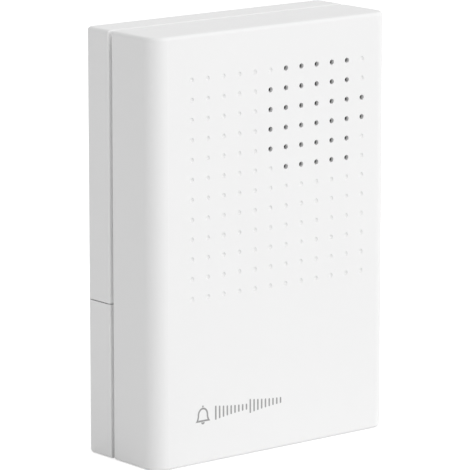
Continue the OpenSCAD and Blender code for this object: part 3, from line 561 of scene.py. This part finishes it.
class CHIME_OT_stage(bpy.types.Operator):
    """Floor, light all round, a soft light in front and the camera"""
    bl_idname = "chime.stage"
    bl_label = "Stage"

    def execute(self, context):
        scene = context.scene
        stage = scene.chime_stage
        scene.view_settings.view_transform = "Standard"
        self.make_world(scene, stage)
        self.make_floor(scene)
        right_front_high = (0.36, -0.70, 0.62)
        self.make_soft_light(scene, "soft_key", right_front_high, stage.key_power)
        self.make_camera(scene, stage)
        return {"FINISHED"}

    def make_world(self, scene, stage):
        """Light all round, more of it from the front and right; the camera and reflections see white."""
        world = bpy.data.worlds.new("light_all_round")
        scene.world = world
        world.use_nodes = True
        tree = world.node_tree
        way = add(tree, "ShaderNodeTexCoord").outputs["Generated"]
        more = add(tree, "ShaderNodeVectorMath", {0: way, 1: stage.lean}, operation="DOT_PRODUCT")
        level = add(tree, "ShaderNodeMath", {0: more.outputs["Value"], 1: stage.fill, 2: stage.fill},
                    operation="MULTIPLY_ADD")
        strength = add(tree, "ShaderNodeMix",
                       {"Factor": seen_directly(tree), "A": level.outputs[0], "B": 1.0})
        feed(tree, tree.nodes["Background"], {"Color": WHITE, "Strength": strength.outputs["Result"]})

    def make_floor(self, scene):
        """A wide pale floor that keeps the box's shadow."""
        half = 3.0
        mesh = bpy.data.meshes.new("floor")
        corners = [(-half, -half), (half, -half), (half, half), (-half, half)]
        mesh.from_pydata([(x, y, BASE_Z) for x, y in corners], [], [(0, 1, 2, 3)])
        floor = bpy.data.objects.new("floor", mesh)
        scene.collection.objects.link(floor)
        material, tree, shader, _ = new_material("matt_white_paper_floor")
        lift = add(tree, "ShaderNodeMath", {0: seen_directly(tree), 1: 0.5}, operation="MULTIPLY")
        feed(tree, shader, {"Base Color": linear("#f2f2f2"), "Roughness": 0.9, "Specular IOR Level": 0.1,
                            "Emission Color": WHITE, "Emission Strength": lift.outputs[0]})
        mesh.materials.append(material)

    def make_soft_light(self, scene, name, direction, power):
        """A large square light, as seen from the box in the given direction."""
        side, away_by = 0.9, 1.2
        light = bpy.data.lights.new(name, "AREA")
        light.shape = "SQUARE"
        light.size = side
        light.energy = power
        lamp = bpy.data.objects.new(name, light)
        scene.collection.objects.link(lamp)
        away = Vector(direction).normalized()
        middle = (CAD_LOW + CAD_HIGH) / 2
        lamp.location = middle + away * away_by
        lamp.rotation_euler = away.to_track_quat("Z", "Y").to_euler()

    def make_camera(self, scene, stage):
        """The photograph's view: a long lens, from the left and a little above."""
        target = Vector((0.12, -17.5, 0.44)) * MM
        right_shift, up_shift = -2.265 * MM, -1.387 * MM
        turn, lift = stage.azimuth, stage.elevation
        flat = math.cos(lift)
        back = Vector((math.sin(turn) * flat, -math.cos(turn) * flat, math.sin(lift)))
        right = Vector((0, 0, 1)).cross(back).normalized()
        up = back.cross(right)
        camera = bpy.data.cameras.new("camera")
        camera.lens = stage.lens
        camera.sensor_width = 36.0
        camera.clip_start = 0.05
        camera.clip_end = 20.0
        eye = bpy.data.objects.new("camera", camera)
        scene.collection.objects.link(eye)
        turned = Matrix((right, up, back)).transposed().to_4x4()
        place = target + right * right_shift + up * up_shift + back * stage.distance
        eye.matrix_world = Matrix.Translation(place) @ turned
        scene.camera = eye


def seen_directly(tree):
    """1 for camera, glossy and transmission rays, so that they show a white surround."""
    path = add(tree, "ShaderNodeLightPath")
    rays = path.outputs
    first = add(tree, "ShaderNodeMath", {0: rays["Is Camera Ray"], 1: rays["Is Glossy Ray"]},
                operation="MAXIMUM")
    both = add(tree, "ShaderNodeMath", {0: first.outputs[0], 1: rays["Is Transmission Ray"]},
               operation="MAXIMUM")
    return both.outputs[0]


class CHIME_OT_case(bpy.types.Operator):
    """White moulded finish of the front cover, rear case and battery door"""
    bl_idname = "chime.case"
    bl_label = "Case"

    def execute(self, context):
        white = moulded_abs("abs_moulded_white", colours().case)
        dress(["front_cover", "rear_case", "battery_door"], white)
        return {"FINISHED"}


class CHIME_OT_print(bpy.types.Operator):
    """Grey printed mark on the front: a plain bell and two fading pulses of sound"""
    bl_idname = "chime.front_print"
    bl_label = "Front print"

    def execute(self, context):
        size = sizes()
        left = FRONT_LOW.x + size.print_left
        foot = FRONT_LOW.z + size.print_up
        high = size.print_high
        ink = pad_print_ink("ink_pad_printed_grey", colours().ink)
        # The bell stands a little higher than the bars, with its middle at theirs.
        bell_high = high * 1.35
        bell_x = left + bell_high / 2
        bell_foot = foot - (bell_high - high) / 2
        outer = bell_outline(bell_x, bell_foot, bell_high)
        inner = bell_outline(bell_x, bell_foot, bell_high, inside=size.print_line)
        clapper_at, clapper_r = bell_foot + bell_high * 0.13, bell_high * 0.11
        knob_at, knob_r = bell_foot + bell_high * 0.955, bell_high * 0.05
        clapper = arc(bell_x, clapper_at, clapper_r, 180, 360, 12)
        knob = arc(bell_x, knob_at, knob_r, 0, 330, 11)
        mesh = flat_shapes("print_bell", [clapper, knob], FRONT_Y, size.ink_thick, rings=[(outer, inner)])
        piece("print_bell", mesh, ink)
        # Two strokes of the bell, each fading over a row of bars.
        bars, strokes, half = 9, 2, size.print_line / 2
        fade_over, least = 7.0, 0.16
        gap = high * 0.45
        first = left + bell_high + gap
        pitch = (left + size.print_long - half - first) / (bars * strokes - 1)
        middle = foot + high / 2
        shapes = []
        for i in range(bars * strokes):
            fade = math.exp(-(i % bars) / fade_over)
            tall = high * (least + (1 - least) * fade)
            shapes.append(pill(first + i * pitch, middle - tall / 2, middle + tall / 2, half))
        mesh = flat_shapes("print_sound_bars", shapes, FRONT_Y, size.ink_thick)
        piece("print_sound_bars", mesh, ink)
        return {"FINISHED"}


class CHIME_OT_fasteners(bpy.types.Operator):
    """Zinc plated screws and washers"""
    bl_idname = "chime.fasteners"
    bl_label = "Fasteners"

    def execute(self, context):
        zinc = plated_metal("steel_zinc_plated", "#b4b8bd", grain_mm=1.5, rough=(0.28, 0.42))
        dress(["case_screws", "board_screws", "terminal_screws"], zinc)
        dress(["speaker_screws", "speaker_washers"], zinc)
        return {"FINISHED"}


class CHIME_OT_speaker(bpy.types.Operator):
    """Finishes of the loudspeaker's pieces"""
    bl_idname = "chime.speaker"
    bl_label = "Loudspeaker"

    def execute(self, context):
        pressed = plated_metal("steel_pressed_bright", "#9a9da1", grain_mm=2.5, rough=(0.34, 0.5))
        dress(["speaker_basket", "speaker_top_plate", "speaker_yoke"], pressed)
        ferrite = speckled_solid("ferrite_sintered_grey", "#3b3b3f", grain_mm=0.6, rough=0.72, depth_mm=0.05)
        dress(["speaker_magnet"], ferrite)
        dress(["speaker_gasket"], closed_cell_foam("foam_closed_cell_black", "#1b1b1c"))
        dress(["speaker_surround"], woven_cloth("cloth_coated_black", "#1d1c1c", thread_mm=0.35))
        dress(["speaker_cone", "dust_cap"], pressed_pulp("paper_pulp_pressed_dark", "#2a2724"))
        dress(["voice_coil"], wound_copper("copper_enamelled_wound", "#b4693a", wire_mm=0.15))
        phenolic = speckled_solid("phenolic_paper_brown", "#7a4a22", grain_mm=0.5, rough=0.5, depth_mm=0.02)
        dress(["speaker_tag_board"], phenolic)
        brass = plated_metal("brass_tinned_stamped", "#c9ae6a", grain_mm=1.0, rough=(0.25, 0.4))
        dress(["speaker_lugs", "terminal_clamps"], brass)
        return {"FINISHED"}


class CHIME_OT_board(bpy.types.Operator):
    """Finishes of the melody board and its parts"""
    bl_idname = "chime.board"
    bl_label = "Melody board"

    def execute(self, context):
        dress(["circuit_board"], solder_mask("board_solder_mask_green", colours().board))
        epoxy = speckled_solid("epoxy_moulded_black", "#1d1d1f", grain_mm=0.25, rough=0.5, depth_mm=0.015)
        dress(["melody_chip", "voltage_regulator", "driver_transistor"], epoxy)
        tin = plated_metal("steel_tinned_legs", "#c3c5c7", grain_mm=0.6, rough=(0.22, 0.34))
        dress(["chip_legs"], tin)
        dress(["electrolytic_capacitors"], can_sleeve("pvc_shrink_sleeve_navy", "#22305a"))
        dipped = speckled_solid("ceramic_dipped_orange", "#c4722f", grain_mm=0.4, rough=0.42, depth_mm=0.02)
        dress(["ceramic_capacitors"], dipped)
        # Each band's start on the body and its width, in millimetres, and its colour.
        bands = [(0.5, 0.5, "#7a4420"), (1.5, 0.5, "#1d1d1f"), (2.5, 0.5, "#b3262b"),
                 (3.9, 0.5, "#b08d3c")]
        lacquer = banded_part("lacquer_dipped_tan", "#cdb083", "resistors", body_mm=5.0, bands=bands)
        dress(["resistors"], lacquer)
        bands = [(3.5, 0.6, "#c9cbcd")]
        dress(["diode"], banded_part("epoxy_moulded_banded", "#1d1d1f", "diode", body_mm=4.6, bands=bands))
        nylon = speckled_solid("nylon_moulded_green", "#2f8a50", grain_mm=0.3, rough=0.45,
                               depth_mm=0.015, spread=0.05)
        dress(["terminal_block"], nylon)
        self.solder_side(tin)
        return {"FINISHED"}

    def solder_side(self, tin):
        """The board's rear: a dome of solder on each leg's cut end, and copper tracks under the mask."""
        low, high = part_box("circuit_board")
        # How near two points of one leg are to each other, in millimetres.
        legs = {"chip_legs": 1.2, "resistors": 0.6, "diode": 0.6, "ceramic_capacitors": 0.6,
                "voltage_regulator": 0.6, "driver_transistor": 0.6}
        spots = []
        for name, reach in legs.items():
            spots += middles_of_feet(feet_on(name, low.y), reach * MM)
        screws = [v.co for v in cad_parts["terminal_screws"].data.vertices]
        spots += middles_of_feet(screws, 1.2 * MM)
        # A can's two legs are under its rubber, half a pitch to each side of its middle.
        half_pitch = 1.27 * MM
        for x, z in middles_of_feet(feet_on("electrolytic_capacitors", low.y), 1.5 * MM):
            spots += [(x - half_pitch, z), (x + half_pitch, z)]
        # Radius and height of the solder, and of the leg's cut end in it, in millimetres.
        profile = [(0.58, 0.0), (0.50, 0.16), (0.41, 0.40), (0.34, 0.62), (0.28, 0.68), (0.26, 1.00),
                   (0.0, 1.04)]
        mesh = solder_domes("solder_joints", spots, high.y, profile)
        piece("solder_joints", mesh, tin)
        track_thick, track_wide, pad_r = 0.035 * MM, 0.6 * MM, 0.62 * MM
        # The pads stand a little higher than the tracks that run into them.
        pad_thick = 1.5 * track_thick
        shortest, longest = 2.0 * MM, 12.0 * MM
        tracks = [bent_track(start, end, track_wide)
                  for start, end in short_links(spots, shortest, longest)]
        pads = [arc(x, z, pad_r, 0, 345, 23) for x, z in spots]
        mask = solder_mask("board_mask_over_copper", shade(colours().board, 1.45))
        copper = {"board_tracks": (tracks, track_thick), "board_pads": (pads, pad_thick)}
        for name, (shapes, thick) in copper.items():
            piece(name, flat_shapes(name, shapes, high.y + thick, thick), mask)


class CHIME_OT_battery(bpy.types.Operator):
    """Cell jackets, contacts and the raised polarity marks beside the bay"""
    bl_idname = "chime.battery"
    bl_label = "Battery bay"

    def execute(self, context):
        tint = colours()
        nickel = plated_metal("steel_nickel_plated", "#c9c8c2", grain_mm=1.2, rough=(0.16, 0.28))
        dress(["positive_contact", "negative_contact", "bridge_contact", "contact_springs"], nickel)
        for name, way in (("upper_cell", 1), ("lower_cell", -1)):
            ends = [corner.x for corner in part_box(name)][::way]
            dress([name], cell_jacket("film_jacket_" + name, *ends, tint.jacket, tint.jacket_band))
        self.polarity_marks()
        return {"FINISHED"}

    def polarity_marks(self):
        """A plus beside each cell's button and a minus at its other end, raised on the deck."""
        rise = sizes().mark_rise
        arm, half = 1.6 * MM, 0.35 * MM
        from_middle, head_high = 34.8 * MM, 2.0 * MM
        # The screws' heads stand on the deck.
        deck_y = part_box("case_screws")[1].y - head_high
        abs_white = bpy.data.materials["abs_moulded_white"]
        shapes = []
        for name, way in (("upper_cell", 1), ("lower_cell", -1)):
            low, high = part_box(name)
            z = (low.z + high.z) / 2
            shapes.append(self.plus(-way * from_middle, z, arm, half))
            shapes.append(self.bar(way * from_middle, z, arm, half))
        mesh = flat_shapes("polarity_marks", shapes, deck_y + rise, rise)
        piece("polarity_marks", mesh, abs_white)

    def bar(self, x, z, arm, half):
        """Outline of a minus."""
        return [(x - arm, z - half), (x + arm, z - half), (x + arm, z + half), (x - arm, z + half)]

    def plus(self, x, z, arm, half):
        """Outline of a plus, a quarter at a time."""
        quarter = [(arm, half), (half, half), (half, arm)]
        points = []
        for _ in range(4):
            points += [(x + cx, z + cz) for cx, cz in quarter]
            quarter = [(-cz, cx) for cx, cz in quarter]
        return points


class CHIME_OT_leads(bpy.types.Operator):
    """Red and black insulated leads inside the case"""
    bl_idname = "chime.leads"
    bl_label = "Leads"

    def execute(self, context):
        for tint, hex_colour in (("red", "#b3262b"), ("black", "#1b1b1d")):
            pvc = speckled_solid("pvc_extruded_" + tint, hex_colour, grain_mm=0.8, rough=0.36,
                                 depth_mm=0.01, spread=0.05)
            dress(["battery_wire_" + tint, "speaker_wire_" + tint], pvc)
        return {"FINISHED"}


STEPS = ("stage", "case", "front_print", "fasteners", "speaker", "board", "battery", "leads")


class CHIME_PT_panel(bpy.types.Panel):
    """Lists the chime box's steps"""
    bl_idname = "CHIME_PT_panel"
    bl_label = "Chime Box"
    bl_space_type = "VIEW_3D"
    bl_region_type = "UI"
    bl_category = "Chime Box"

    def draw(self, context):
        for step in STEPS:
            self.layout.operator("chime." + step)
        for group in (context.scene.chime_colours, context.scene.chime_sizes, context.scene.chime_stage):
            for key in group.bl_rna.properties.keys():
                if key not in ("rna_type", "name"):
                    self.layout.prop(group, key)


CLASSES = (ChimeColours, ChimeSizes, ChimeStage, CHIME_OT_stage, CHIME_OT_case, CHIME_OT_print,
           CHIME_OT_fasteners, CHIME_OT_speaker, CHIME_OT_board, CHIME_OT_battery, CHIME_OT_leads,
           CHIME_PT_panel)


def register():
    for cls in CLASSES:
        bpy.utils.register_class(cls)
    bpy.types.Scene.chime_colours = bpy.props.PointerProperty(type=ChimeColours)
    bpy.types.Scene.chime_sizes = bpy.props.PointerProperty(type=ChimeSizes)
    bpy.types.Scene.chime_stage = bpy.props.PointerProperty(type=ChimeStage)


def unregister():
    del bpy.types.Scene.chime_stage
    del bpy.types.Scene.chime_sizes
    del bpy.types.Scene.chime_colours
    for cls in reversed(CLASSES):
        bpy.utils.unregister_class(cls)


def main():
    register()
    for step in STEPS:
        getattr(bpy.ops.chime, step)()
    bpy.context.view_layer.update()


if __name__ == "__main__":
    main()
